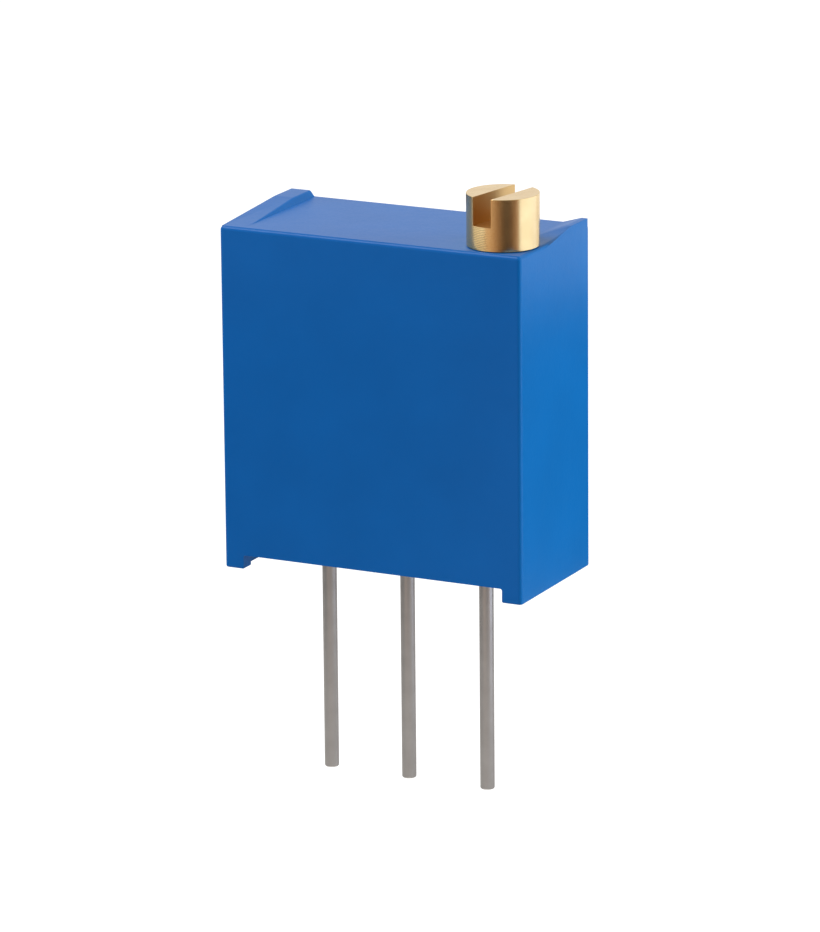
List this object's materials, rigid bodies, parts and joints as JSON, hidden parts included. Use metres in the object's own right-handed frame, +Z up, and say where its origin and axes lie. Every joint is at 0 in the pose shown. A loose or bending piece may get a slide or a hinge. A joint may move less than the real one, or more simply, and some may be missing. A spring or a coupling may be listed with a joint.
{
  "type": "trimmer potentiometer",
  "caption": "Sealed upright trimmer potentiometer: a slotted brass screw on top turns a worm-driven wiper, and a row of straight leads goes into the board.",
  "frame": {"origin": "on the board's surface, on the centre lead's axis", "axes": "+X along the row of leads towards the screw end, +Y from the front face to the back, +Z up from the board"},
  "size_m": [0.0096, 0.0046, 0.0181],
  "materials": {
    "housing_pbt": "satin moulded blue thermoplastic",
    "brass": "turned, bright",
    "silicone_rubber": "matt red-brown silicone",
    "natural_acetal": "moulded, natural",
    "contact_alloy": "stamped contact spring",
    "alumina": "fired, matt white",
    "cermet_film": "fired ruthenium oxide glass film",
    "silver_palladium_film": "fired silver-palladium film",
    "tinned_copper": "dull tin plate",
    "solder": "reflowed solder",
    "base_pbt": "moulded, dark blue",
    "epoxy_resin": "cured potting resin"
  },
  "bodies": {
    "root": {"housing": "housing_pbt", "substrate": "alumina", "resistive_track": "cermet_film", "collector_conductor": "silver_palladium_film", "left_conductor": "silver_palladium_film", "right_conductor": "silver_palladium_film", "left_lead": "tinned_copper", "centre_lead": "tinned_copper", "right_lead": "tinned_copper", "left_solder": "solder", "centre_solder": "solder", "right_solder": "solder", "base_plate": "base_pbt", "resin_seal": "epoxy_resin"},
    "adjuster": {"adjustment_screw": "brass", "o_ring": "silicone_rubber"},
    "rotor": {"rotor_gear": "natural_acetal", "wiper": "contact_alloy"}
  },
  "joints": [
    {"name": "screw_turn", "type": "hinge", "parent": "root", "child": "adjuster", "pos_m": [0.00366, -0.0011, 0.00565], "axis": [0, 0, 1], "range_deg": [-4500, 4500]},
    {"name": "rotor_turn", "type": "hinge", "parent": "root", "child": "rotor", "pos_m": [-0.00012, -0.0011, 0.00565], "axis": [0, 1, 0], "range_deg": [-136.4, 136.4]}
  ],
  "couplings": [
    {"joint": "rotor_turn", "follows": "screw_turn", "ratio": 0.030303}
  ]
}
